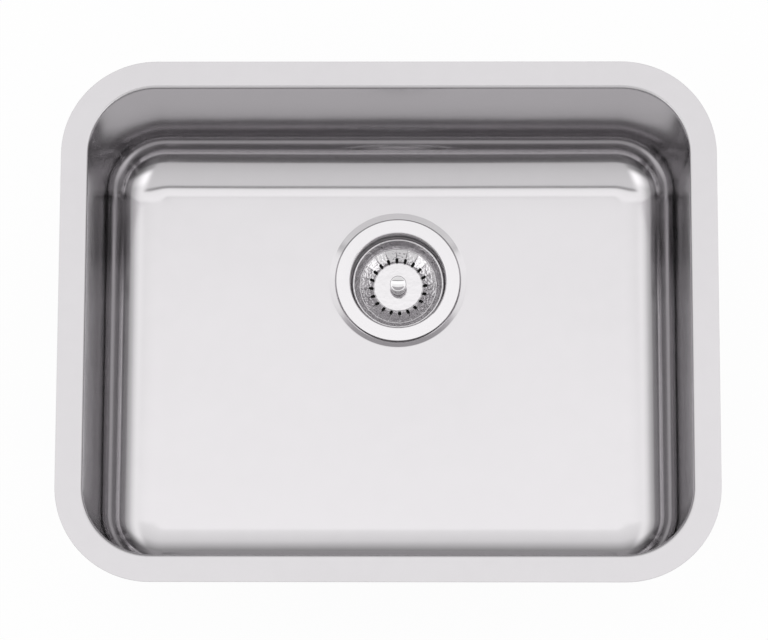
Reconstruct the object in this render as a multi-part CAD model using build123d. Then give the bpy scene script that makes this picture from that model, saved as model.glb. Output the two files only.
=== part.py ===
from build123d import *
from math import cos, radians, tan
import os

# Undermount kitchen sink with a push-down basket strainer. Millimetres, +Z up, +Y towards the back.
# The origin is the centre of the bowl's opening, in the rim's top face, where the worktop rests.

# ---- bowl ----
RIM_LENGTH = 560.0
RIM_WIDTH = 450.0
RIM_CORNER_R = 81.0
RIM_FLAT = 20.5
EDGE_R = 3.0
SHEET = 1.0
WALL_DRAFT = 2.0
COVE_R = 46.0
FLOOR_DEPTH = 185.0
FLOOR_FALL = 1.5

# ---- outlet in the bowl's floor ----
OUTLET_X = 6.5
OUTLET_FROM_BACK = 130.5
OUTLET_HOLE_R = 45.0
RECESS_GAP = 0.8
RECESS_STEP = 4.2
RECESS_DEPTH = 2.6
RECESS_BEND = 1.2

# ---- sound-deadening pads under the floor ----
PAD = 2.5
PAD_MARGIN = 22.0
PAD_GAP = 14.0
PAD_CORNER_R = 12.0

# ---- gaskets above and below the floor ----
UPPER_GASKET = 1.5
UPPER_GASKET_WIDTH = 7.0
LOWER_GASKET = 4.0
LOWER_GASKET_WIDTH = 6.4
GASKET_BEVEL = 1.2

# ---- waste cup, pressed from steel ----
CUP_SHEET = 0.9
CUP_FLANGE = 13.0
CUP_LIP = 0.7
CUP_LIP_BEVEL = 0.6
HOLE_CLEARANCE = 1.4
THROAT_EDGE_R = 1.5
SHOULDER_BELOW_RIM = 1.5
SHOULDER_STEP = 3.4
SHOULDER_DROP = 1.2
CUP_TAPER = 1.6
CUP_BEND = 1.6
SEAT_ANGLE = 31.0
SEAT_BAND = 4.5
WINDOWS = 6
WINDOW_MARGIN = 4.0
WINDOW_SPOKE = 4.0

# ---- moulded waste housing ----
HOUSING_WALL = 3.0
HOUSING_FLANGE = 4.0
HOUSING_FLANGE_WIDTH = 7.5
HOUSING_TAPER = 4.0
HOUSING_BEND = 4.0
CUP_SPACE = 2.2
CONE_DROP = 17.0
OUTLET_R = 23.9
OUTLET_WALL = 3.9
OUTLET_NECK = 3.0
OUTLET_LENGTH = 20.0
GUSSETS = 12
GUSSET_HEIGHT = 18.0
GUSSET = 2.2
RIB_ROOT = 0.8
BOSS_WALL = 2.6
BOSS_HEIGHT = 15.0
BOSS_GAP = 2.1
BOSS_ARMS = 4
ARM = 3.2

# ---- clamp bolt, its washer and the threaded insert ----
BOLT_WALL = 1.8
BOLT_CHAMFER = 1.2
BOLT_HEAD_WIDTH = 3.5
BOLT_HEAD = 3.0
BOLT_SLOT = 2.4
BOLT_SLOT_DEPTH = 1.4
BOLT_BEYOND_BOSS = 3.0
WASHER = 1.0
WASHER_MARGIN = 1.0
HOLE_GAP = 0.3
INSERT_WALL = 2.5
INSERT_LENGTH = 12.0
FIT = 0.05

# ---- basket; depths are measured down from the top of the waste's flange ----
BASKET_SHEET = 0.6
BASKET_GAP = 1.6
BASKET_RIM_DEPTH = 14.0
BASKET_WALL_RUN = 3.3
CURL_R = 1.1
CURL_HEM = 1.2
FACETS = 20
FACET_ANGLE = 3.0
FACET_LENGTH = 13.2
FACET_RISE = 7.5
BAND = 0.9
BAND_ANGLE = 52.0
DISC_MARGIN = 0.5
DISC_STEP = 0.8
DISC_DEPTH = 29.5
DISC_BEVEL = 0.4
SLOT_WIDTH = 2.7
SLOT_LENGTH = 4.5
SLOT_SIDES = 8
SLOT_MARGIN = 0.2

# ---- knob and spindle ----
KNOB_HEIGHT = 15.0
KNOB_HEAD = 3.0
KNOB_WALL = 1.4
KNOB_HEAD_WIDTH = 2.8
KNOB_FOOT_WIDTH = 2.0
KNOB_FOOT = 0.9
KNOB_EDGE_R = 1.0
KNOB_LIP = 1.2
KNOB_DISH = 1.2
SPINDLE_R = 3.2
SPINDLE_GAP = 1.0
SPINDLE_IN_KNOB = 9.0
SPINDLE_CHAMFER = 1.2

# ---- stack under the basket ----
SPACER_WALL = 3.75
SPACER = 4.0
PLUG_GAP = 8.5
PLUG_EDGE = 1.2
PLUG_LIP_TOP = 0.8
PLUG_LIP_WIDTH = 5.5
PLUG_LIP_WALL = 1.6
PLUG_HUB_WALL = 7.25
PLUG_HUB = 4.5
PLUG_WEB = 2.2
PLUG_WEB_DROP = 1.0
SEAT_GAP = 0.3
SEAL_WASHER = 1.2
SEAL_WASHER_MARGIN = 6.9
NUT_WALL = 2.25
NUT = 4.0
HEAD_GAP = 0.6

# ---- grip ring in the spindle's groove ----
GRIP = 4.0
GRIP_SIDE_GAP = 0.15
GRIP_GROOVE = 0.9
GRIP_SPLIT = 1.2
GRIP_FROM_TIP = 6.0
RUNNING = 0.08

# ---- how far a cutter reaches past what it cuts ----
PAST = 1.0

# ---- closeness at which two sizes count as the same ----
TOUCH = 0.001

# ---- bowl: what follows from the sizes ----
EDGE_SETBACK = EDGE_R * tan(radians((90 - WALL_DRAFT) / 2))
MOUTH_LENGTH = RIM_LENGTH - 2 * (RIM_FLAT + EDGE_SETBACK)
MOUTH_WIDTH = RIM_WIDTH - 2 * (RIM_FLAT + EDGE_SETBACK)
MOUTH_CORNER_R = RIM_CORNER_R - RIM_FLAT - EDGE_SETBACK
FLOOR_INSET = FLOOR_DEPTH * tan(radians(WALL_DRAFT)) + COVE_R * tan(radians((90 - WALL_DRAFT) / 2))
FLOOR_HALF_LENGTH = MOUTH_LENGTH / 2 - FLOOR_INSET
FLOOR_HALF_WIDTH = MOUTH_WIDTH / 2 - FLOOR_INSET
OUTLET_Y = RIM_WIDTH / 2 - RIM_FLAT - OUTLET_FROM_BACK
RECESS_TOP_Z = -FLOOR_DEPTH - FLOOR_FALL
RECESS_Z = RECESS_TOP_Z - RECESS_DEPTH
CUP_Z = RECESS_Z + UPPER_GASKET + CUP_SHEET

# ---- radii about the waste's axis ----
THROAT_R = OUTLET_HOLE_R - HOLE_CLEARANCE - CUP_SHEET
CUP_FLANGE_R = THROAT_R + CUP_FLANGE
RECESS_FOOT_R = CUP_FLANGE_R + RECESS_GAP
RECESS_R = RECESS_FOOT_R + RECESS_STEP
CUP_WALL_R = THROAT_R - SHOULDER_STEP
SEAT_R = CUP_WALL_R - CUP_TAPER
PLUG_R = SEAT_R - PLUG_GAP
SEAT_NECK_R = PLUG_R - SEAT_BAND
STACK_BORE_R = SPINDLE_R + FIT
BOLT_BORE_R = SPINDLE_R + SPINDLE_GAP
BOLT_R = BOLT_BORE_R + BOLT_WALL
BOLT_HOLE_R = BOLT_R + HOLE_GAP
BOLT_HEAD_R = BOLT_R + BOLT_HEAD_WIDTH
WASHER_R = BOLT_HEAD_R + WASHER_MARGIN
INSERT_FLATS = 2 * (BOLT_R + INSERT_WALL)
BOSS_R = INSERT_FLATS / 2 / cos(radians(30)) + BOSS_WALL
BASKET_RIM_R = THROAT_R - BASKET_GAP - CURL_R
BASKET_WALL_R = BASKET_RIM_R - CURL_R
FACET_OUTER_R = BASKET_WALL_R - BASKET_WALL_RUN
FACET_INNER_R = FACET_OUTER_R - FACET_LENGTH
DISC_R = FACET_INNER_R - DISC_MARGIN
KNOB_NECK_R = SPINDLE_R + KNOB_WALL
HOUSING_R = THROAT_R + CUP_SHEET + CUP_SPACE
HOPPER_END_R = HOUSING_R - HOUSING_TAPER
OUTLET_BORE_R = OUTLET_R - OUTLET_WALL

# ---- depths below the top of the waste's flange ----
SEAT_SLOPE = tan(radians(SEAT_ANGLE))
THROAT_DEPTH = BASKET_RIM_DEPTH + SHOULDER_BELOW_RIM
PLUG_TOP = DISC_DEPTH + BASKET_SHEET + SPACER
LIP_EDGE = PLUG_TOP + PLUG_LIP_TOP + PLUG_EDGE
PLUG_BOTTOM = PLUG_TOP + PLUG_HUB
NUT_TOP = PLUG_BOTTOM + SEAL_WASHER
HEAD_TOP = NUT_TOP + NUT + HEAD_GAP
HEAD_BOTTOM = HEAD_TOP + BOLT_HEAD
CUP_FLOOR = HEAD_BOTTOM + WASHER
BOSS_TOP = CUP_FLOOR + CUP_SHEET + BOSS_GAP
BOSS_END = BOSS_TOP + BOSS_HEIGHT
BOLT_TIP = BOSS_END + BOLT_BEYOND_BOSS
GRIP_BOTTOM = BOSS_END - GRIP_FROM_TIP
GRIP_TOP = GRIP_BOTTOM - GRIP
SHEET_UNDERSIDE = CUP_Z - RECESS_Z + SHEET
HOUSING_TOP = SHEET_UNDERSIDE + LOWER_GASKET
OUTLET_TOP = BOSS_TOP + CONE_DROP
OUTLET_END = OUTLET_TOP + OUTLET_NECK + OUTLET_LENGTH


def seat_depth(radius):
    """Depth of the plug's conical seat at a radius."""
    return LIP_EDGE + (PLUG_R - radius) * SEAT_SLOPE + SEAT_GAP / cos(radians(SEAT_ANGLE))


def turned(points):
    """A solid turned about the Z axis from (radius, depth) points, in order round its half section."""
    outline = Polyline([(radius, 0, -depth) for radius, depth in points], close=True)
    return revolve(make_face(outline), Axis.Z)


def eased(points, cut):
    """The points of a line with each inner corner cut off, as a bend does."""
    corners = [Vector(*point) for point in points]
    line = [corners[0]]
    for before, corner, after in zip(corners, corners[1:], corners[2:]):
        line.append(corner + (before - corner).normalized() * cut)
        line.append(corner + (after - corner).normalized() * cut)
    line.append(corners[-1])
    return [(point.X, point.Y) for point in line]


def pressed(points, thickness):
    """Sheet turned about the Z axis. Its upper face follows the (radius, depth) points, inwards, down."""
    upper = [Vector(*point) for point in points]
    runs = [(after - before).normalized() for before, after in zip(upper, upper[1:])]
    sides = [Vector(run.Y, -run.X) for run in runs]
    lower = []
    for corner, before, after in zip(upper, sides[:1] + sides, sides + sides[-1:]):
        lower.append(corner + (before + after) * (thickness / (1 + before.dot(after))))
    return turned([(point.X, point.Y) for point in upper + lower[::-1]])


def ring(outer_r, inner_r, top, bottom):
    """A plain ring about the Z axis between two depths."""
    return turned([(inner_r, top), (outer_r, top), (outer_r, bottom), (inner_r, bottom)])


def hexagon(flats, hole_r, top, bottom):
    """A hexagonal prism with a round hole, between two depths."""
    outline = RegularPolygon(flats / 2, 6, major_radius=False) - Circle(hole_r)
    return Pos(0, 0, -bottom) * extrude(outline, amount=bottom - top)


def at_outlet(solid):
    """Moves a piece made about the Z axis to the outlet, with depth 0 at the top of the waste's flange."""
    return Pos(OUTLET_X, OUTLET_Y, CUP_Z) * solid


def air_in_bowl(grow):
    """The space in the bowl, grown outwards: drafted walls, cove, falling floor and recess."""
    mouth = RectangleRounded(MOUTH_LENGTH + 2 * grow, MOUTH_WIDTH + 2 * grow, MOUTH_CORNER_R + grow)
    depth = FLOOR_DEPTH + grow
    walls = extrude(mouth, amount=-depth, taper=WALL_DRAFT)
    walls = fillet(walls.faces().sort_by(Axis.Z)[0].edges(), COVE_R + grow)
    flat = walls.faces().sort_by(Axis.Z)[0]
    top_r = RECESS_R + grow
    foot_r = RECESS_FOOT_R + grow
    outlet = Pos(OUTLET_X, OUTLET_Y, -depth - FLOOR_FALL)
    fall = loft([flat, (outlet * Circle(top_r)).face()], ruled=True)
    recess = outlet * turned([(0, 0), (top_r, 0), (foot_r, RECESS_DEPTH), (0, RECESS_DEPTH)])
    return walls + fall + recess


def circles(solid, radius, z):
    """The solid's round edges of a radius at a height."""
    found = solid.edges().filter_by(GeomType.CIRCLE)
    level = [edge for edge in found if abs(edge.center().Z - z) < TOUCH]
    return [edge for edge in level if abs(edge.radius - radius) < TOUCH]


def make_sink_bowl():
    """The bowl: flat rim, rounded edge, drawn walls, and a floor with a recessed hole for the waste."""
    rim = extrude(RectangleRounded(RIM_LENGTH, RIM_WIDTH, RIM_CORNER_R), amount=-SHEET)
    bowl = rim + air_in_bowl(SHEET)
    under_rim = bowl.faces().filter_by(Axis.Z).sort_by(Axis.Z)[-2]
    bowl = fillet(under_rim.inner_wires()[0].edges(), EDGE_R - SHEET)
    bowl -= air_in_bowl(0)
    top = bowl.faces().sort_by(Axis.Z)[-1]
    bowl = fillet(top.inner_wires()[0].edges(), EDGE_R)
    bowl = fillet(circles(bowl, RECESS_FOOT_R, RECESS_Z), RECESS_BEND)
    bowl = fillet(circles(bowl, RECESS_FOOT_R + SHEET, RECESS_Z - SHEET), RECESS_BEND + SHEET)
    bowl = fillet(circles(bowl, RECESS_R, RECESS_TOP_Z), RECESS_BEND + SHEET)
    bowl = fillet(circles(bowl, RECESS_R + SHEET, RECESS_TOP_Z - SHEET), RECESS_BEND)
    hole = Pos(OUTLET_X, OUTLET_Y, RECESS_Z - SHEET / 2) * Cylinder(OUTLET_HOLE_R, 2 * SHEET)
    return bowl - hole


def make_sound_pads():
    """Three pads that follow the underside of the floor, in front of the waste and at its two sides."""
    left = -FLOOR_HALF_LENGTH + PAD_MARGIN
    right = FLOOR_HALF_LENGTH - PAD_MARGIN
    front = -FLOOR_HALF_WIDTH + PAD_MARGIN
    back = FLOOR_HALF_WIDTH - PAD_MARGIN
    reach = RECESS_R + PAD_GAP
    middle = OUTLET_Y - reach
    outlines = {
        "sound_pad_front": (left, right, front, middle),
        "sound_pad_left": (left, OUTLET_X - reach, middle + PAD_GAP, back),
        "sound_pad_right": (OUTLET_X + reach, right, middle + PAD_GAP, back),
    }
    layer = air_in_bowl(SHEET + PAD) - air_in_bowl(SHEET)
    below = RECESS_Z - 2 * PAD
    pads = {}
    for name, (x0, x1, y0, y1) in outlines.items():
        place = Pos((x0 + x1) / 2, (y0 + y1) / 2, below)
        outline = place * RectangleRounded(x1 - x0, y1 - y0, PAD_CORNER_R)
        pads[name] = layer & extrude(outline, amount=-FLOOR_DEPTH - below)
    return pads


def make_waste_cup():
    """Flange with a turned-down lip, throat, shoulder, wall, conical plug seat, neck and windowed floor."""
    flange = [
        (CUP_FLANGE_R, CUP_SHEET + CUP_LIP),
        (CUP_FLANGE_R, 0),
        (THROAT_R, 0),
    ]
    well = [
        (THROAT_R, THROAT_EDGE_R),
        (THROAT_R, THROAT_DEPTH),
        (CUP_WALL_R, THROAT_DEPTH + SHOULDER_DROP),
        (SEAT_R, seat_depth(SEAT_R)),
        (SEAT_NECK_R, seat_depth(SEAT_NECK_R)),
        (SEAT_NECK_R, CUP_FLOOR),
        (BOLT_HOLE_R, CUP_FLOOR),
    ]
    cup = pressed(flange + eased(well, CUP_BEND)[1:], CUP_SHEET)
    cup = fillet(circles(cup, THROAT_R, 0), THROAT_EDGE_R)
    cup = chamfer(circles(cup, CUP_FLANGE_R, 0), CUP_LIP_BEVEL)
    outer_r = SEAT_NECK_R - WINDOW_MARGIN
    windows = Circle(outer_r) - Circle(WASHER_R + HOLE_GAP)
    windows -= PolarLocations(0, WINDOWS // 2, angular_range=180) * Rectangle(3 * outer_r, WINDOW_SPOKE)
    return cup - Pos(0, 0, -CUP_FLOOR - CUP_SHEET - PAST) * extrude(windows, amount=CUP_SHEET + 2 * PAST)


def make_upper_gasket():
    inner_r = CUP_FLANGE_R - CUP_SHEET - HOLE_CLEARANCE - UPPER_GASKET_WIDTH
    return ring(inner_r + UPPER_GASKET_WIDTH, inner_r, CUP_SHEET, CUP_SHEET + UPPER_GASKET)


def make_lower_gasket():
    """A rubber ring with a bevelled outer edge, pressed against the underside of the recess."""
    outer_r = HOUSING_R + LOWER_GASKET_WIDTH
    return turned([
        (HOUSING_R, SHEET_UNDERSIDE),
        (outer_r - GASKET_BEVEL, SHEET_UNDERSIDE),
        (outer_r, SHEET_UNDERSIDE + GASKET_BEVEL),
        (outer_r, HOUSING_TOP),
        (HOUSING_R, HOUSING_TOP),
    ])


def make_waste_housing():
    """A hopper with a gusseted flange, a boss on arms for the threaded insert, and a male outlet."""
    points = [
        (HOUSING_R, HOUSING_TOP),
        (HOPPER_END_R, BOSS_TOP),
        (OUTLET_BORE_R, OUTLET_TOP),
        (OUTLET_BORE_R, OUTLET_END),
    ]
    housing = pressed(eased(points, HOUSING_BEND), HOUSING_WALL)
    flange_bottom = HOUSING_TOP + HOUSING_FLANGE
    flange_r = HOUSING_R + HOUSING_FLANGE_WIDTH
    rooted_r = HOUSING_R + HOUSING_WALL - RIB_ROOT
    housing += ring(flange_r, rooted_r, HOUSING_TOP, flange_bottom)
    housing += ring(OUTLET_R, OUTLET_BORE_R + HOUSING_WALL - RIB_ROOT, OUTLET_TOP + OUTLET_NECK, OUTLET_END)
    lean = (HOUSING_R - HOPPER_END_R) / (BOSS_TOP - HOUSING_TOP)
    gusset = make_face(Polyline(
        (rooted_r, -flange_bottom + RIB_ROOT),
        (flange_r - GASKET_BEVEL, -flange_bottom + RIB_ROOT),
        (flange_r - GASKET_BEVEL, -flange_bottom - GASKET_BEVEL),
        (rooted_r - lean * GUSSET_HEIGHT, -flange_bottom - GUSSET_HEIGHT),
        close=True,
    ))
    gusset = extrude(Plane.XZ * gusset, amount=GUSSET / 2, both=True)
    housing += PolarLocations(0, GUSSETS) * gusset
    hopper = turned([
        (0, BOSS_TOP),
        (HOPPER_END_R + RIB_ROOT, BOSS_TOP),
        (OUTLET_BORE_R + RIB_ROOT, OUTLET_TOP),
        (0, OUTLET_TOP),
    ])
    arm_height = BOSS_HEIGHT - BOSS_GAP
    arm = Pos(0, 0, -BOSS_END + arm_height / 2) * Box(3 * HOPPER_END_R, ARM, arm_height)
    arms = Part() + PolarLocations(0, BOSS_ARMS // 2, start_angle=45, angular_range=180) * arm
    housing += arms & hopper
    housing += ring(BOSS_R, BOLT_R, BOSS_TOP, BOSS_END)
    housing -= ring(BOLT_HOLE_R, 0, BOSS_TOP - PAST, BOSS_END + PAST)
    return housing - hexagon(INSERT_FLATS + 2 * FIT, FIT, BOSS_END - INSERT_LENGTH, BOSS_END + PAST)


def make_threaded_insert():
    return hexagon(INSERT_FLATS, BOLT_R + FIT, BOSS_END - INSERT_LENGTH, BOSS_END)


def make_clamp_bolt():
    """A hollow bolt with a slot across its head. Its bore takes the spindle."""
    bolt = turned([
        (BOLT_BORE_R, HEAD_TOP),
        (BOLT_HEAD_R, HEAD_TOP),
        (BOLT_HEAD_R, HEAD_BOTTOM),
        (BOLT_R, HEAD_BOTTOM),
        (BOLT_R, BOLT_TIP - BOLT_CHAMFER),
        (BOLT_R - BOLT_CHAMFER, BOLT_TIP),
        (BOLT_BORE_R, BOLT_TIP),
    ])
    return bolt - Pos(0, 0, -HEAD_TOP) * Box(3 * BOLT_HEAD_R, BOLT_SLOT, 2 * BOLT_SLOT_DEPTH)


def make_clamp_washer():
    return ring(WASHER_R, BOLT_HOLE_R, HEAD_BOTTOM, CUP_FLOOR)


def pyramid(radius, depth, slope, bottom):
    """A space with flat facets from the basket's rim to a bottom, whose corners pass a radius at a depth."""
    bottom_r = radius - (bottom - depth) / slope
    rim_r = radius + (depth - BASKET_RIM_DEPTH) / slope
    floor = Pos(0, 0, -bottom) * RegularPolygon(bottom_r, FACETS, rotation=FACET_ANGLE)
    top = Pos(0, 0, -BASKET_RIM_DEPTH) * RegularPolygon(rim_r, FACETS, rotation=FACET_ANGLE)
    return loft([floor.face(), top.face()], ruled=True)


def basket_form(grow):
    """The space in the basket, grown outwards: a steep cone, a narrow band of facets and broad facets."""
    facets_top = DISC_DEPTH + DISC_STEP - FACET_RISE
    lean = BASKET_WALL_RUN / (facets_top - BASKET_RIM_DEPTH)
    bottom = DISC_DEPTH + DISC_STEP + grow
    drop = bottom - BASKET_RIM_DEPTH
    cone = turned([
        (0, BASKET_RIM_DEPTH),
        (BASKET_WALL_R + grow, BASKET_RIM_DEPTH),
        (BASKET_WALL_R + grow - lean * drop, bottom),
        (0, bottom),
    ])
    slope = FACET_RISE / FACET_LENGTH
    band_depth = facets_top + BAND * slope + grow / cos(radians(BAND_ANGLE))
    band = pyramid(FACET_OUTER_R - BAND, band_depth, tan(radians(BAND_ANGLE)), bottom)
    return cone & band & pyramid(FACET_INNER_R, bottom, slope, bottom)


def basket_curl():
    """The basket's rim: the wall's edge rolled outwards in a half circle, with a short hem."""
    inner_r = BASKET_WALL_R + BASKET_SHEET
    outer_r = BASKET_RIM_R + CURL_R
    arc = ThreePointArc(
        (BASKET_WALL_R, -BASKET_RIM_DEPTH),
        (BASKET_RIM_R, -BASKET_RIM_DEPTH + CURL_R),
        (outer_r, -BASKET_RIM_DEPTH),
    )
    under = -BASKET_RIM_DEPTH + CURL_R - BASKET_SHEET
    rest = Polyline(
        (outer_r, -BASKET_RIM_DEPTH),
        (outer_r, -BASKET_RIM_DEPTH - CURL_HEM),
        (outer_r - BASKET_SHEET, -BASKET_RIM_DEPTH - CURL_HEM),
        (outer_r - BASKET_SHEET, under),
        (inner_r, under),
        (inner_r, -BASKET_RIM_DEPTH),
        (BASKET_WALL_R, -BASKET_RIM_DEPTH),
    )
    return revolve(Plane.XZ * make_face(arc + rest), Axis.Z)


def make_strainer_basket():
    """The basket: rolled rim, steep wall, flat facets with a slot at each crease, and a raised disc."""
    basket = basket_form(BASKET_SHEET) - basket_form(0) + basket_curl()
    step = DISC_DEPTH + DISC_STEP + BASKET_SHEET
    inside_r = DISC_R - BASKET_SHEET
    basket -= ring(inside_r, 0, DISC_DEPTH, step + PAST)
    basket += turned([
        (STACK_BORE_R, DISC_DEPTH),
        (DISC_R - DISC_BEVEL, DISC_DEPTH),
        (DISC_R, DISC_DEPTH + DISC_BEVEL),
        (DISC_R, step),
        (inside_r, step),
        (inside_r, DISC_DEPTH + BASKET_SHEET),
        (STACK_BORE_R, DISC_DEPTH + BASKET_SHEET),
    ])
    end = RegularPolygon(SLOT_WIDTH / 2, SLOT_SIDES, major_radius=False, rotation=180 / SLOT_SIDES)
    straight = SLOT_LENGTH - SLOT_WIDTH
    slot = Rectangle(straight, SLOT_WIDTH) + Pos(straight / 2, 0) * end + Pos(-straight / 2, 0) * end
    slot = Pos(0, 0, -step - PAST) * extrude(slot, amount=step - BASKET_RIM_DEPTH)
    centre_r = DISC_R + SLOT_MARGIN + SLOT_LENGTH / 2
    return basket - PolarLocations(centre_r, FACETS, start_angle=FACET_ANGLE) * slot


def make_basket_knob():
    """A waisted knob with a dished head, bored from below for the spindle."""
    head_r = KNOB_NECK_R + KNOB_HEAD_WIDTH
    foot_r = KNOB_NECK_R + KNOB_FOOT_WIDTH
    top = DISC_DEPTH - KNOB_HEIGHT
    head_bottom = top + KNOB_HEAD
    foot_top = DISC_DEPTH - KNOB_FOOT
    middle = (foot_top + head_bottom) / 2
    bore_top = DISC_DEPTH - SPINDLE_IN_KNOB
    waist = ThreePointArc((foot_r, -foot_top), (KNOB_NECK_R, -middle), (head_r, -head_bottom))
    side = Polyline((head_r, -head_bottom), (head_r, -top), (head_r - KNOB_LIP, -top))
    dish = TangentArc((0, -top - KNOB_DISH), (head_r - KNOB_LIP, -top), tangent=(1, 0))
    rest = Polyline(
        (0, -top - KNOB_DISH),
        (0, -bore_top),
        (STACK_BORE_R, -bore_top),
        (STACK_BORE_R, -DISC_DEPTH),
        (foot_r, -DISC_DEPTH),
        (foot_r, -foot_top),
    )
    knob = revolve(Plane.XZ * make_face(waist + side + dish + rest), Axis.Z)
    return fillet(circles(knob, head_r, -top), KNOB_EDGE_R)


def make_basket_spindle():
    """A pin from the knob to the bore of the clamp bolt, with a groove for the grip ring."""
    groove_r = SPINDLE_R - GRIP_GROOVE
    return turned([
        (0, DISC_DEPTH - SPINDLE_IN_KNOB),
        (SPINDLE_R, DISC_DEPTH - SPINDLE_IN_KNOB),
        (SPINDLE_R, GRIP_TOP - GRIP_SIDE_GAP),
        (groove_r, GRIP_TOP - GRIP_SIDE_GAP),
        (groove_r, GRIP_BOTTOM + GRIP_SIDE_GAP),
        (SPINDLE_R, GRIP_BOTTOM + GRIP_SIDE_GAP),
        (SPINDLE_R, BOSS_END - SPINDLE_CHAMFER),
        (SPINDLE_R - SPINDLE_CHAMFER, BOSS_END),
        (0, BOSS_END),
    ])


def make_grip_ring():
    """A split ring that turns in the spindle's groove and slides in the bore of the clamp bolt."""
    grip = ring(BOLT_BORE_R - RUNNING, SPINDLE_R - GRIP_GROOVE + RUNNING, GRIP_TOP, GRIP_BOTTOM)
    slit = Pos(BOLT_BORE_R / 2, 0, -(GRIP_TOP + GRIP_BOTTOM) / 2) * Box(BOLT_BORE_R, GRIP_SPLIT, 2 * GRIP)
    return grip - slit


def make_seal_spacer():
    return ring(STACK_BORE_R + SPACER_WALL, STACK_BORE_R, PLUG_TOP - SPACER, PLUG_TOP)


def make_plug_seal():
    """A rubber plug: thick hub, thin web and a lip whose face lies parallel to its seat."""
    hub_r = STACK_BORE_R + PLUG_HUB_WALL
    web_top = PLUG_TOP + PLUG_WEB_DROP
    web_bottom = web_top + PLUG_WEB
    lip_r = PLUG_R - PLUG_LIP_WIDTH
    lip_bottom = LIP_EDGE + PLUG_LIP_WIDTH * SEAT_SLOPE
    return turned([
        (STACK_BORE_R, PLUG_TOP),
        (hub_r, PLUG_TOP),
        (hub_r + PLUG_WEB_DROP, web_top),
        (lip_r, web_top),
        (PLUG_R, LIP_EDGE - PLUG_EDGE),
        (PLUG_R, LIP_EDGE),
        (lip_r, lip_bottom),
        (lip_r - PLUG_LIP_WALL, lip_bottom),
        (lip_r - PLUG_LIP_WALL - PLUG_WEB_DROP, web_bottom),
        (hub_r + PLUG_WEB_DROP, web_bottom),
        (hub_r, PLUG_BOTTOM),
        (STACK_BORE_R, PLUG_BOTTOM),
    ])


def make_seal_washer():
    outer_r = PLUG_R - PLUG_LIP_WIDTH - PLUG_LIP_WALL - SEAL_WASHER_MARGIN
    return ring(outer_r, STACK_BORE_R, PLUG_BOTTOM, NUT_TOP)


def make_spindle_nut():
    return hexagon(2 * (STACK_BORE_R + NUT_WALL), STACK_BORE_R, NUT_TOP, NUT_TOP + NUT)


pieces = {
    "sink_bowl": make_sink_bowl(),
    **make_sound_pads(),
    "waste_cup": at_outlet(make_waste_cup()),
    "upper_gasket": at_outlet(make_upper_gasket()),
    "lower_gasket": at_outlet(make_lower_gasket()),
    "waste_housing": at_outlet(make_waste_housing()),
    "threaded_insert": at_outlet(make_threaded_insert()),
    "clamp_bolt": at_outlet(make_clamp_bolt()),
    "clamp_washer": at_outlet(make_clamp_washer()),
    "grip_ring": at_outlet(make_grip_ring()),
    "strainer_basket": at_outlet(make_strainer_basket()),
    "basket_knob": at_outlet(make_basket_knob()),
    "basket_spindle": at_outlet(make_basket_spindle()),
    "seal_spacer": at_outlet(make_seal_spacer()),
    "plug_seal": at_outlet(make_plug_seal()),
    "seal_washer": at_outlet(make_seal_washer()),
    "spindle_nut": at_outlet(make_spindle_nut()),
}

os.makedirs("parts", exist_ok=True)
for name, solid in pieces.items():
    export_step(solid, f"parts/{name}.step")
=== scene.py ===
from math import atan2, ceil, cos, pi, radians, sin, tan

import bmesh
import bpy
from mathutils import Matrix, Vector


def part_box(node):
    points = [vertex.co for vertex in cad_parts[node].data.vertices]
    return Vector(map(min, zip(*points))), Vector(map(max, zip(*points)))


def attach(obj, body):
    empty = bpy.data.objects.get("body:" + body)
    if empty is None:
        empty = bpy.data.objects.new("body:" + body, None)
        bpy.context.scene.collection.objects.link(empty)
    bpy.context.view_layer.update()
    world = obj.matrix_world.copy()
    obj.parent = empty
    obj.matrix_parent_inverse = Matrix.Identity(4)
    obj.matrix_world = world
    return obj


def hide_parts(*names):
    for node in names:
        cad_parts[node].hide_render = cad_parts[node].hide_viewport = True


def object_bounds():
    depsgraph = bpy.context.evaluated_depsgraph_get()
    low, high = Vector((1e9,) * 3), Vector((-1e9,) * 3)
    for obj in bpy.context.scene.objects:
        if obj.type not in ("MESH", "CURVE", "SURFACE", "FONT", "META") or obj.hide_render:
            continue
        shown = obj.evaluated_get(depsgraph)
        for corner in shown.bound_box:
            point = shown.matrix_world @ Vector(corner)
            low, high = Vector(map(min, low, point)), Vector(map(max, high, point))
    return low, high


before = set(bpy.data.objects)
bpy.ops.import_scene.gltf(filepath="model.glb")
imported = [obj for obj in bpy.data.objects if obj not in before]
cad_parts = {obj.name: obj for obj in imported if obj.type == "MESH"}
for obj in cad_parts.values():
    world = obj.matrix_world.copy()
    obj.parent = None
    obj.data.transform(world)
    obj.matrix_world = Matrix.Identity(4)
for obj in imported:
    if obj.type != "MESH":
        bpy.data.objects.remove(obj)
cad_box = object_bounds()

# ---- camera, fitted to the rim's edges in the photograph's 768 x 640 frame ----
CAMERA_AZIMUTH = 3.552
CAMERA_ELEVATION = 78.166
CAMERA_ROLL = -3.466
CAMERA_DISTANCE = 3.4106
CAMERA_REACH = 50
CAMERA_TARGET = Vector((-0.0035, -0.0015, 0))
FOCAL_PIXELS = 4029.7
PICTURE_WIDTH = 768
SENSOR = 36.0

# ---- studio light: radiance by the angle in degrees towards the front, seen from the sink ----
MIDDLE_LIGHT = [
    (-72, 0.28), (-62, 0.42), (-50, 0.76), (-38, 1.1), (-15, 1.29), (-9, 1.54), (-6, 1.47),
    (5, 1.41), (7, 0.36), (10.5, 0.36), (12, 1.04), (40, 0.96), (72, 0.76), (84, 0.42)]
BANK_LIGHT = [(-64, 0.42), (-46, 1.4), (16, 1.45), (30, 1.9), (46, 1.9), (58, 0.5)]

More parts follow.
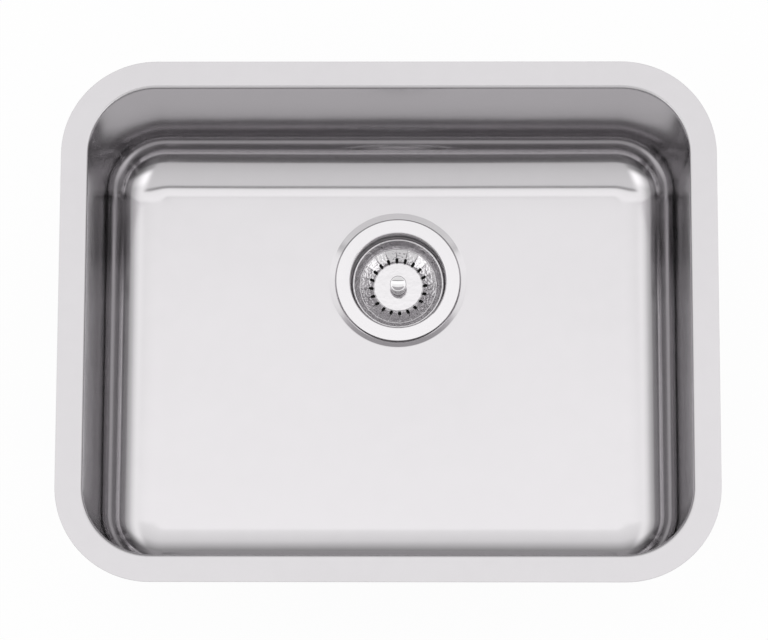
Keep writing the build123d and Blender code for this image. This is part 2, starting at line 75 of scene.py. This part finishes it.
# ---- how much of it is left by the angle to the side, and where the side banks take over ----
SIDE_SHARE = [(46, 1.0), (54, 0.86), (61, 0.62), (69, 0.42), (78, 0.3)]
BANK_FROM = 30
BANK_TO = 46

# ---- pale walls of the studio, low down, by the angle from straight up ----
HORIZON_FROM = 74
HORIZON_TO = 84
HORIZON_LIGHT = 0.9

# ---- floor ----
FLOOR_REACH = 6.0
FLOOR_COLOUR = (0.9, 0.9, 0.9, 1)
FLOOR_ROUGHNESS = 0.9
FLOOR_GLOW = 0.95

# ---- bowl, in metres: the CAD model's sizes, with a smoother floor and a gentler recess ----
SHEET = 0.001
RIM_CORNER_R = 0.081
RIM_FLAT = 0.0205
RIM_BURR = 0.0002
EDGE_R = 0.003
WALL_DRAFT = radians(2.0)
COVE_R = 0.046
FLOOR_DEPTH = 0.185
FLOOR_FALL = 0.0015
FALL_POWER = 1.4
OUTLET = Vector((0.0065, 0.074))
OUTLET_HOLE_R = 0.045
RECESS_R = 0.0613
RECESS_FOOT_R = 0.0547
RECESS_DEPTH = 0.0026
RECESS_BEND = 0.0012

# ---- how finely the bowl's mesh follows its curves ----
CORNER_STEPS = 26
DIRECTION_STEP = radians(3.0)
FLOOR_RINGS = 16
UPPER_STEPS = (3, 12, 40)
LOWER_STEPS = (3, 6, 24)
RECESS_STEPS = (6, 5)
GUARD = 0.0002

# ---- basket's pressed ribs: radius and depth below the flange's top at each end of a crease ----
FACETS = 20
FACET_ANGLE = 3.0
CREASE = [(0.0272, 0.02756), (0.0344, 0.02348)]
RIB_WIDTH = 0.0011
RIB_HEIGHT = 0.0004
RIB_PROFILE = [
    (-1, -0.8), (-0.75, 0.2), (-0.35, 0.85), (0, 1), (0.35, 0.85), (0.75, 0.2), (1, -0.8)]

# ---- threads: radius over the crests, pitch, and the height in which the groove runs out ----
HOUSING_THREAD = {"crest_r": 0.0239, "pitch": 0.00231, "run_out": 0.0006}
HOUSING_THREAD_LENGTH = 0.019
BOLT_THREAD = {"crest_r": 0.006, "pitch": 0.00125, "run_out": 0.0003}
BOLT_THREAD_FROM_TIP = 0.0012
BOLT_THREAD_FROM_TOP = 0.0035
SPINDLE_THREAD = {"crest_r": 0.0032, "pitch": 0.0007, "run_out": 0.0003}
SPINDLE_THREAD_BELOW_NUT = 0.004
SPINDLE_THREAD_IN_NUT = 0.0035

# ---- section of a thread's ridge, as shares of its pitch: depths, and half its width at each depth ----
THREAD_DEPTH = 0.6
THREAD_SUNK = 0.1
THREAD_ROUNDING = 0.08
HALF_AT_FOOT = 0.48
HALF_AT_ROOT = 0.43
HALF_AT_SHOULDER = 0.13
HALF_AT_CREST = 0.06
THREAD_STEPS = 48
THREAD_FADE = 16
SHARP = radians(28)

# ---- how close points are that count as one, as on a level, or as on the crests' cylinder ----
SAME = 1e-7
ON_LEVEL = 1e-6
ON_CREST = 2e-5

# ---- where the rim and the waste's throat are dull, by depth below the rim and below the flange ----
RIM_ROUGHNESS = 0.3
RIM_DULL_TO = 0.00015
RIM_BRIGHT_FROM = 0.0012
THROAT_ROUGHNESS = 0.3
FLANGE_BRIGHT_TO = 0.001
THROAT_DULL_FROM = 0.004

# ---- dimples of the basket's facets, which begin at a radius ----
DIMPLES_FROM = 0.0222
DIMPLES_TO = 0.0238
DIMPLE_SCALE = 450.0
DIMPLE_HEIGHT = 0.00035
DIMPLE_DETAIL = 1.0

# ---- patches of a finish: their detail, the fine ones' scale and share, and the levels they span ----
CLOUD_DETAIL = 4.0
FINE_DETAIL = 1.0
FINE_SCALE = 14
FINE_SHARE = 0.4
PATCH_LOW = 0.35
PATCH_HIGH = 0.65

# ---- what a radian round the waste's axis counts as, in metres, where a pattern runs round it ----
TURNED_RADIAN = 0.002

# ---- finishes: from patch to patch the colour is varied by a share, and the roughness by "worn" ----
# ---- each bump is a scale per metre, a stretch, a height in micrometres and its kind ----
BUMP_DETAIL = 2.0
MICROMETRE = 1e-6
EVEN = (1, 1, 1)
FINISHES = {
    "bowl_steel": {
        "colour": (0.56, 0.546, 0.56), "roughness": 0.13, "metallic": 1.0,
        "varied": 0.012, "patches": 5.0, "worn": 0.012,
        "bumps": [
            (9.0, EVEN, 300, "noise"), (60.0, (5, 1, 3), 3, "noise"),
            (1400.0, (1, 0.05, 0.3), 0.6, "noise")]},
    "bowl_underside": {
        "colour": (0.5, 0.49, 0.5), "roughness": 0.32, "metallic": 1.0,
        "varied": 0.04, "patches": 8.0, "worn": 0.06,
        "bumps": [
            (10.0, EVEN, 400, "noise"), (220.0, (1, 1, 0.08), 8, "noise"), (1800.0, EVEN, 1.5, "noise")]},
    "waste_steel": {
        "colour": (0.63, 0.617, 0.63), "roughness": 0.11, "metallic": 1.0,
        "varied": 0.015, "worn": 0.02, "turned": True,
        "bumps": [(2600.0, (1, 0.2, 1), 1.5, "noise"), (60.0, EVEN, 30, "noise")]},
    "basket_steel": {
        "colour": (0.62, 0.607, 0.62), "roughness": 0.1, "metallic": 1.0,
        "varied": 0.015, "patches": 20.0, "worn": 0.02,
        "bumps": [
            (150.0, EVEN, 130, "noise"), (700.0, EVEN, 30, "noise"), (2000.0, EVEN, 1.2, "noise")]},
    "knob_chrome": {
        "colour": (0.7, 0.69, 0.7), "roughness": 0.06, "metallic": 1.0,
        "varied": 0.01, "worn": 0.015, "turned": True,
        "bumps": [(3000.0, (1, 0.2, 1), 0.8, "noise")]},
    "bolt_steel": {
        "colour": (0.55, 0.54, 0.53), "roughness": 0.27, "metallic": 1.0,
        "varied": 0.04, "worn": 0.06, "turned": True,
        "bumps": [(3200.0, (1, 0.15, 1), 6, "noise")]},
    "insert_brass": {
        "colour": (0.72, 0.52, 0.24), "roughness": 0.3, "metallic": 1.0,
        "varied": 0.06, "worn": 0.06, "turned": True,
        "bumps": [(3000.0, (1, 0.15, 1), 8, "noise")]},
    "housing_plastic": {
        "colour": (0.8, 0.8, 0.78), "roughness": 0.42,
        "varied": 0.025, "patches": 25.0, "worn": 0.05,
        "bumps": [(1500.0, EVEN, 20, "noise"), (45.0, EVEN, 120, "noise")]},
    "ring_nylon": {
        "colour": (0.78, 0.77, 0.71), "roughness": 0.36,
        "varied": 0.03, "patches": 60.0, "worn": 0.04,
        "bumps": [(2200.0, EVEN, 10, "noise")]},
    "seal_rubber": {
        "colour": (0.028, 0.028, 0.029), "roughness": 0.52,
        "varied": 0.25, "patches": 60.0, "worn": 0.07,
        "bumps": [(1800.0, EVEN, 20, "noise"), (260.0, EVEN, 40, "noise")]},
    "gasket_foam": {
        "colour": (0.62, 0.62, 0.61), "roughness": 0.85,
        "varied": 0.06, "patches": 80.0, "worn": 0.05,
        "bumps": [(1500.0, EVEN, 120, "cells")]},
    "pad_rubber": {
        "colour": (0.075, 0.075, 0.078), "roughness": 0.7,
        "varied": 0.2, "patches": 18.0, "worn": 0.1,
        "bumps": [
            (320.0, EVEN, 400, "cells"), (1500.0, EVEN, 80, "noise"), (30.0, EVEN, 300, "noise")]},
}


def add_camera():
    azimuth = radians(CAMERA_AZIMUTH)
    elevation = radians(CAMERA_ELEVATION)
    roll = radians(CAMERA_ROLL)
    back = Vector((sin(azimuth) * cos(elevation), -cos(azimuth) * cos(elevation), sin(elevation)))
    level = Vector((0, 0, 1)).cross(back).normalized()
    upright = back.cross(level)
    right = level * cos(roll) + upright * sin(roll)
    up = upright * cos(roll) - level * sin(roll)
    data = bpy.data.cameras.new("camera")
    data.sensor_width = SENSOR
    data.sensor_fit = "HORIZONTAL"
    data.lens = FOCAL_PIXELS / PICTURE_WIDTH * SENSOR
    data.clip_end = CAMERA_REACH
    camera = bpy.data.objects.new("camera", data)
    place = CAMERA_TARGET + back * CAMERA_DISTANCE
    camera.matrix_world = Matrix.Translation(place) @ Matrix((right, up, back)).transposed().to_4x4()
    bpy.context.collection.objects.link(camera)
    bpy.context.scene.camera = camera


class Graph:
    """Short calls for building a node tree."""

    def __init__(self, tree):
        self.tree = tree

    def node(self, kind, inputs=(), **settings):
        node = self.tree.nodes.new(kind)
        for name, value in settings.items():
            setattr(node, name, value)
        for socket, value in dict(inputs).items():
            if isinstance(value, bpy.types.NodeSocket):
                self.tree.links.new(value, node.inputs[socket])
            else:
                node.inputs[socket].default_value = value
        return node

    def math(self, operation, first, second=0.0):
        return self.node("ShaderNodeMath", {0: first, 1: second}, operation=operation).outputs[0]

    def span(self, value, from_min, from_max, to_min=0.0, to_max=1.0, smooth=False):
        inputs = {
            "Value": value, "From Min": from_min, "From Max": from_max, "To Min": to_min, "To Max": to_max}
        kind = "SMOOTHSTEP" if smooth else "LINEAR"
        return self.node("ShaderNodeMapRange", inputs, interpolation_type=kind).outputs["Result"]

    def by_angle(self, angle, stops):
        """A level that runs from stop to stop; the stops are degrees and levels."""
        ramp = self.node("ShaderNodeValToRGB", {"Fac": self.span(angle, -pi / 2, pi / 2)})
        elements = ramp.color_ramp.elements
        while len(elements) < len(stops):
            elements.new(0.5)
        for element, (degrees, level) in zip(elements, stops):
            element.position = degrees / 180 + 0.5
            element.color = (level, level, level, 1)
        return ramp.outputs["Color"]

    def mix(self, share, first, second):
        inputs = {"Factor": share, "A": first, "B": second}
        return self.node("ShaderNodeMix", inputs, data_type="FLOAT").outputs["Result"]

    def place(self):
        """Where a point of the surface is, in its object's own frame."""
        return self.node("ShaderNodeTexCoord").outputs["Object"]

    def parted(self, vector):
        """The vector's x, y and z."""
        return self.node("ShaderNodeSeparateXYZ", {0: vector}).outputs

    def noise(self, place, scale, detail):
        inputs = {"Vector": place, "Scale": scale, "Detail": detail}
        return self.node("ShaderNodeTexNoise", inputs).outputs["Fac"]


def add_world():
    """A soft studio: a tent over the sink, banks at its sides, and pale walls low down."""
    world = bpy.data.worlds.new("studio")
    world.use_nodes = True
    graph = Graph(world.node_tree)
    x, y, z = graph.parted(graph.node("ShaderNodeTexCoord").outputs["Generated"])
    front = graph.math("ARCTAN2", graph.math("MULTIPLY", y, -1.0), z)
    side = graph.math("ARCTAN2", graph.math("ABSOLUTE", x), z)
    zenith = graph.math("ARCCOSINE", z)
    bank = graph.span(side, radians(BANK_FROM), radians(BANK_TO), smooth=True)
    tent = graph.mix(bank, graph.by_angle(front, MIDDLE_LIGHT), graph.by_angle(front, BANK_LIGHT))
    tent = graph.math("MULTIPLY", tent, graph.by_angle(side, SIDE_SHARE))
    low = graph.span(zenith, radians(HORIZON_FROM), radians(HORIZON_TO), smooth=True)
    background = world.node_tree.nodes["Background"]
    world.node_tree.links.new(graph.mix(low, tent, HORIZON_LIGHT), background.inputs["Color"])
    bpy.context.scene.world = world


def add_floor():
    """A white floor with the sink's shadow on it, clear from below so that the underside can be seen."""
    lowest = cad_box[0][2]
    mesh = bpy.data.meshes.new("studio_floor")
    corners = [(x * FLOOR_REACH, y * FLOOR_REACH, lowest) for x, y in ((-1, -1), (1, -1), (1, 1), (-1, 1))]
    mesh.from_pydata(corners, [], [(0, 1, 2, 3)])
    floor = bpy.data.objects.new("studio_floor", mesh)
    bpy.context.collection.objects.link(floor)
    material = bpy.data.materials.new("studio_floor")
    material.use_nodes = True
    graph = Graph(material.node_tree)
    shader = material.node_tree.nodes["Principled BSDF"]
    shader.inputs["Base Color"].default_value = FLOOR_COLOUR
    shader.inputs["Roughness"].default_value = FLOOR_ROUGHNESS
    rays = graph.node("ShaderNodeLightPath").outputs
    passed_on = graph.math("MAXIMUM", rays["Is Glossy Ray"], rays["Is Transmission Ray"])
    seen = graph.math("MAXIMUM", rays["Is Camera Ray"], passed_on)
    share = graph.math("MULTIPLY", seen, FLOOR_GLOW)
    glow = graph.node("ShaderNodeEmission").outputs[0]
    top = graph.node("ShaderNodeMixShader", {0: share, 1: shader.outputs[0], 2: glow}).outputs[0]
    below = graph.node("ShaderNodeNewGeometry").outputs["Backfacing"]
    clear = graph.node("ShaderNodeBsdfTransparent").outputs[0]
    mix = graph.node("ShaderNodeMixShader", {0: below, 1: top, 2: clear}).outputs[0]
    material.node_tree.links.new(mix, material.node_tree.nodes["Material Output"].inputs["Surface"])
    mesh.materials.append(material)


def rounded(points, radii, steps):
    """A line of (r, z) points whose inner corners are arcs, each of a radius and a number of steps.

    A guard point outside each end of an arc keeps the shading of what is flat beside it even.
    """
    corners = [Vector(point) for point in points]
    line = [corners[0]]
    for before, corner, after, radius, count in zip(corners, corners[1:], corners[2:], radii, steps):
        to_before = (before - corner).normalized()
        to_after = (after - corner).normalized()
        half = to_before.angle(to_after) / 2
        setback = radius / tan(half)
        centre = corner + (to_before + to_after).normalized() * (radius / sin(half))
        start = corner + to_before * setback - centre
        end = corner + to_after * setback - centre
        arc = [start] + [slerp(start, end, step / count) for step in range(1, count)] + [end]
        line.append(corner + to_before * (setback + GUARD))
        line += [centre + bearing for bearing in arc]
        line.append(corner + to_after * (setback + GUARD))
    line.append(corners[-1])
    return line


def slerp(start, end, share):
    """The point a share of the way along the arc from start to end about the origin."""
    whole = start.angle(end)
    return (start * sin((1 - share) * whole) + end * sin(share * whole)) / sin(whole)


def bowl_stations(half_length, half_width):
    """Places round the bowl: each is a point of the inner rectangle and the direction outwards from it."""
    x1 = half_length - RIM_CORNER_R
    y1 = half_width - RIM_CORNER_R
    corners = [Vector(corner) for corner in ((x1, -y1), (x1, y1), (-x1, y1), (-x1, -y1))]
    facings = (-90, 0, 90, 180)
    stations = []
    for corner, next_corner, facing in zip(corners, corners[1:] + corners[:1], facings):
        for step in range(CORNER_STEPS + 1):
            turn = radians(facing + 90 * step / CORNER_STEPS)
            stations.append((corner, Vector((cos(turn), sin(turn)))))
        outward = stations[-1][1]
        along = (next_corner - corner).normalized()
        distance = (corner - OUTLET).dot(outward)
        start = (corner - OUTLET).dot(along)
        first = atan2(start, distance)
        last = atan2((next_corner - OUTLET).dot(along), distance)
        count = ceil((last - first) / DIRECTION_STEP)
        for step in range(1, count):
            reach = distance * tan(first + (last - first) * step / count) - start
            stations.append((corner + along * reach, outward))
    return stations


def bowl_side(stations, line, grow, bends):
    """Rings of points on one side of the sheet, from the rim's edge in to the edge of the outlet hole."""
    floor_r, floor_z = line[-1]
    edges = [place + outward * floor_r for place, outward in stations]
    bearings = [(edge - OUTLET).normalized() for edge in edges]
    start_r = RECESS_R + grow + 2 * (RECESS_BEND + SHEET)
    farthest = max((edge - OUTLET).length for edge in edges)

    def fallen(point):
        """How far the floor has fallen at a point: it is a shallow dish round the outlet."""
        share = ((point - OUTLET).length - start_r) / (farthest - start_r)
        return FLOOR_FALL * (1 - max(0, share) ** FALL_POWER)

    rings = []
    for radius, z in line:
        share = max(0, (floor_z + COVE_R - z) / COVE_R) ** 2
        rings.append([(*(place + outward * radius), z - fallen(edge) * share)
                      for (place, outward), edge in zip(stations, edges)])
    for step in range(1, FLOOR_RINGS):
        share = step / FLOOR_RINGS
        points = [edge.lerp(OUTLET + bearing * start_r, share) for edge, bearing in zip(edges, bearings)]
        rings.append([(*point, floor_z - fallen(point)) for point in points])
    top_z = floor_z - FLOOR_FALL
    foot_z = top_z - RECESS_DEPTH
    recess = rounded(
        [(start_r, top_z), (RECESS_R + grow, top_z), (RECESS_FOOT_R + grow, foot_z), (OUTLET_HOLE_R, foot_z)],
        bends, RECESS_STEPS)
    rings += [[(*(OUTLET + bearing * radius), z) for bearing in bearings] for radius, z in recess]
    return rings


def add_bowl():
    """The bowl as one closed sheet, in rings from the rim's edge over the upper side and back underneath."""
    (x0, y0, _), (x1, y1, _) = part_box("sink_bowl")
    stations = bowl_stations((x1 - x0) / 2, (y1 - y0) / 2)
    lean = tan(WALL_DRAFT)
    mouth_r = RIM_CORNER_R - RIM_FLAT - EDGE_R * tan((pi / 2 - WALL_DRAFT) / 2)
    foot_r = mouth_r - FLOOR_DEPTH * lean
    upper = rounded(
        [(RIM_CORNER_R, -SHEET / 2), (RIM_CORNER_R, 0), (mouth_r, 0),
         (foot_r, -FLOOR_DEPTH), (0, -FLOOR_DEPTH)],
        (RIM_BURR, EDGE_R, COVE_R), UPPER_STEPS)[:-1]
    depth = FLOOR_DEPTH + SHEET
    wall_r = mouth_r + SHEET
    lower = rounded(
        [(RIM_CORNER_R, -SHEET / 2), (RIM_CORNER_R, -SHEET), (wall_r - SHEET * lean, -SHEET),
         (wall_r - depth * lean, -depth), (0, -depth)],
        (RIM_BURR, EDGE_R - SHEET, COVE_R + SHEET), LOWER_STEPS)[1:-1]
    rings = bowl_side(stations, upper, 0, (RECESS_BEND + SHEET, RECESS_BEND))
    upper_count = len(rings)
    rings += bowl_side(stations, lower, SHEET, (RECESS_BEND, RECESS_BEND + SHEET))[::-1]
    form = bmesh.new()
    rings = [ring_of(form, ring) for ring in rings]
    for number, (ring, next_ring) in enumerate(zip(rings, rings[1:] + rings[:1])):
        for face in add_band(form, ring, next_ring):
            face.material_index = 0 if number < upper_count else 1
    bmesh.ops.recalc_face_normals(form, faces=form.faces)
    add_piece("bowl_sheet", form, ("bowl_steel", "bowl_underside"), "sink", "sink_bowl")


def ring_of(form, points):
    return [form.verts.new(point) for point in points]


def add_band(form, ring, next_ring):
    """Faces between two closed rings of as many points each."""
    return [form.faces.new((ring[i - 1], ring[i], next_ring[i], next_ring[i - 1])) for i in range(len(ring))]


def add_run(form, sections):
    """Faces along a run of closed sections and at its two ends."""
    for section, following in zip(sections, sections[1:]):
        add_band(form, section, following)
    form.faces.new(sections[0])
    form.faces.new(sections[-1][::-1])


def add_piece(name, form, finishes, body, node):
    """A smooth mesh piece that rides on a body, takes a slot's finish and may stand for a CAD node."""
    mesh = bpy.data.meshes.new(name)
    form.to_mesh(mesh)
    form.free()
    mesh.shade_smooth()
    for finish in finishes:
        mesh.materials.append(materials[finish])
    piece = bpy.data.objects.new(name, mesh)
    bpy.context.collection.objects.link(piece)
    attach(piece, body)
    if node:
        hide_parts(node)
    return piece


def cut_down(node, crest_r, root_r, z_low, z_high, run_out):
    """A copy of a turned node whose plain cylinder is cut down to a thread's root between two heights."""
    form = bmesh.new()
    form.from_mesh(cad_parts[node].data)
    for layer in (form.loops.layers.float_vector, form.loops.layers.float, form.loops.layers.int):
        for entry in list(layer.values()):
            layer.remove(entry)
    bmesh.ops.remove_doubles(form, verts=form.verts, dist=SAME)
    for level in (z_high + run_out, z_high, z_low, z_low - run_out):
        everything = form.verts[:] + form.edges[:] + form.faces[:]
        bmesh.ops.bisect_plane(form, geom=everything, dist=SAME, plane_co=(0, 0, level), plane_no=(0, 0, 1))
    for vert in form.verts:
        from_axis = vert.co.xy - OUTLET
        threaded = z_low - ON_LEVEL < vert.co.z < z_high + ON_LEVEL
        if threaded and abs(from_axis.length - crest_r) < ON_CREST:
            vert.co.xy = OUTLET + from_axis.normalized() * root_r
    return form


def add_threaded(name, node, body, slot, z_low, z_high, crest_r, pitch, run_out):
    """A copy of a turned node with a right-hand thread round it between two heights."""
    depth = THREAD_DEPTH * pitch
    root_r = crest_r - depth
    sunk_r = root_r - THREAD_SUNK * pitch
    form = cut_down(node, crest_r, root_r, z_low, z_high, run_out)
    steps = ceil(((z_high - z_low) / pitch - 1) * THREAD_STEPS)
    sections = []
    for step in range(steps + 1):
        turn = 2 * pi * step / THREAD_STEPS
        bearing = Vector((cos(turn), sin(turn)))
        height = z_high - pitch / 2 - pitch * step / THREAD_STEPS
        full = min(1, step / THREAD_FADE, (steps - step) / THREAD_FADE)
        tip_r = root_r + depth * full
        shoulder_r = tip_r - THREAD_ROUNDING * pitch * full
        upper = [(sunk_r, HALF_AT_FOOT), (root_r, HALF_AT_ROOT),
                 (shoulder_r, HALF_AT_SHOULDER), (tip_r, HALF_AT_CREST)]
        profile = upper + [(r, -across) for r, across in reversed(upper)]
        sections.append(ring_of(form, [
            (*(OUTLET + bearing * r), height + pitch * across) for r, across in profile]))
    add_run(form, sections)
    bmesh.ops.recalc_face_normals(form, faces=form.faces)
    piece = add_piece(name, form, (slot,), body, node)
    piece.data.set_sharp_from_angle(angle=SHARP)


def add_creases():
    """Pressed ribs of the basket: one along each crease from its slot outwards, and one round the facets."""
    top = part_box("waste_cup")[1].z
    form = bmesh.new()
    rim = []
    for facet in range(FACETS):
        turn = radians(FACET_ANGLE + 360 / FACETS * facet)
        bearing = Vector((cos(turn), sin(turn)))
        inner, outer = (Vector((*(OUTLET + bearing * r), top - depth)) for r, depth in CREASE)
        add_rib(form, [inner, outer], False)
        rim.append(outer)
    add_rib(form, rim, True)
    bmesh.ops.recalc_face_normals(form, faces=form.faces)
    add_piece("basket_creases", form, ("basket_steel",), "basket", None)


def add_rib(form, line, closed):
    """A low rounded rib along a line of points."""
    sections = []
    for i, point in enumerate(line):
        before = line[i - 1] if closed or i else point
        after = line[(i + 1) % len(line)] if closed or i + 1 < len(line) else point
        across = Vector((0, 0, 1)).cross(after - before).normalized()
        up = (after - before).cross(across).normalized()
        sections.append(ring_of(form, [
            point + across * (RIB_WIDTH / 2 * a) + up * (RIB_HEIGHT * b) for a, b in RIB_PROFILE]))
    if closed:
        for section, following in zip(sections, sections[1:] + sections[:1]):
            add_band(form, section, following)
    else:
        add_run(form, sections)


def turned_place(graph, place):
    """Distance from the waste's axis and height, so that a pattern runs round the axis as tool marks do."""
    x, y, z = graph.parted(place)
    east = graph.math("SUBTRACT", x, OUTLET.x)
    north = graph.math("SUBTRACT", y, OUTLET.y)
    squares = graph.math("ADD", graph.math("MULTIPLY", east, east), graph.math("MULTIPLY", north, north))
    reach = graph.math("SQRT", squares)
    round_it = graph.math("MULTIPLY", graph.math("ARCTAN2", north, east), TURNED_RADIAN)
    return graph.node("ShaderNodeCombineXYZ", {0: reach, 1: round_it, 2: z}).outputs[0]


def finish(
        name, colour, roughness, metallic=0.0, varied=0.03, patches=9.0, worn=0.04, turned=False, bumps=()):
    """A material whose colour and roughness vary in patches, with bumps laid one over the other."""
    material = bpy.data.materials.new(name)
    material.use_nodes = True
    graph = Graph(material.node_tree)
    shader = material.node_tree.nodes["Principled BSDF"]
    shader.inputs["Metallic"].default_value = metallic
    place = graph.place()
    if turned:
        place = turned_place(graph, place)
    cloud = graph.noise(place, patches, CLOUD_DETAIL)
    fine = graph.noise(place, patches * FINE_SCALE, FINE_DETAIL)
    mixed = graph.mix(FINE_SHARE, cloud, fine)
    dark = tuple(channel * (1 - varied) for channel in colour)
    pale = tuple(min(1, channel * (1 + varied)) for channel in colour)
    inputs = {"Factor": graph.span(mixed, PATCH_LOW, PATCH_HIGH), "A": (*dark, 1), "B": (*pale, 1)}
    tone = graph.node("ShaderNodeMix", inputs, data_type="RGBA")
    material.node_tree.links.new(tone.outputs[2], shader.inputs["Base Color"])
    gloss = graph.span(mixed, PATCH_LOW, PATCH_HIGH, roughness - worn, roughness + worn)
    material.node_tree.links.new(gloss, shader.inputs["Roughness"])
    for scale, stretch, height, kind in bumps:
        where = graph.node("ShaderNodeMapping", {"Vector": place, "Scale": stretch}).outputs[0]
        if kind == "cells":
            inputs = {"Vector": where, "Scale": scale}
            relief = graph.node("ShaderNodeTexVoronoi", inputs, feature="SMOOTH_F1").outputs["Distance"]
        else:
            relief = graph.noise(where, scale, BUMP_DETAIL)
        add_bump(graph, shader, relief, height * MICROMETRE)
    return material


def add_bump(graph, shader, relief, height):
    """Lays one more bump over those that the shader has."""
    inputs = {"Height": relief, "Strength": 1.0, "Distance": height}
    normal = shader.inputs["Normal"]
    if normal.is_linked:
        inputs["Normal"] = normal.links[0].from_socket
    graph.tree.links.new(graph.node("ShaderNodeBump", inputs).outputs[0], normal)


def dimple_facets(material):
    """The pressing's facets are faintly dimpled, where the raised disc inside them is smooth."""
    graph = Graph(material.node_tree)
    place = graph.place()
    reach = graph.parted(turned_place(graph, place))[0]
    dimples = graph.noise(place, DIMPLE_SCALE, DIMPLE_DETAIL)
    relief = graph.math("MULTIPLY", dimples, graph.span(reach, DIMPLES_FROM, DIMPLES_TO))
    add_bump(graph, material.node_tree.nodes["Principled BSDF"], relief, DIMPLE_HEIGHT)


def make_dull(material, bright_z, dull_z, roughness, smooth=False):
    """Takes a finish over to one roughness between two heights."""
    graph = Graph(material.node_tree)
    gloss = material.node_tree.nodes["Principled BSDF"].inputs["Roughness"]
    share = graph.span(graph.parted(graph.place())[2], bright_z, dull_z, smooth=smooth)
    graph.tree.links.new(graph.mix(share, gloss.links[0].from_socket, roughness), gloss)


add_camera()
add_world()
add_floor()
bpy.context.scene.view_settings.view_transform = "Standard"

materials = {name: finish(name, **settings) for name, settings in FINISHES.items()}
make_dull(materials["bowl_steel"], -RIM_BRIGHT_FROM, -RIM_DULL_TO, RIM_ROUGHNESS, smooth=True)
dimple_facets(materials["basket_steel"])
flange_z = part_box("waste_cup")[1].z
make_dull(
    materials["waste_steel"], flange_z - FLANGE_BRIGHT_TO, flange_z - THROAT_DULL_FROM, THROAT_ROUGHNESS)
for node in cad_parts.values():
    for index, held in enumerate(node.data.materials):
        node.data.materials[index] = materials[held.name.split(".")[0]]

add_bowl()
add_creases()
housing_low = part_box("waste_housing")[0].z
add_threaded(
    "housing_threaded", "waste_housing", "sink", "housing_plastic",
    housing_low, housing_low + HOUSING_THREAD_LENGTH, **HOUSING_THREAD)
bolt_low, bolt_high = (corner.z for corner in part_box("clamp_bolt"))
add_threaded(
    "bolt_threaded", "clamp_bolt", "sink", "bolt_steel",
    bolt_low + BOLT_THREAD_FROM_TIP, bolt_high - BOLT_THREAD_FROM_TOP, **BOLT_THREAD)
nut_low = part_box("spindle_nut")[0].z
add_threaded(
    "spindle_threaded", "basket_spindle", "basket", "bolt_steel",
    nut_low - SPINDLE_THREAD_BELOW_NUT, nut_low + SPINDLE_THREAD_IN_NUT, **SPINDLE_THREAD)
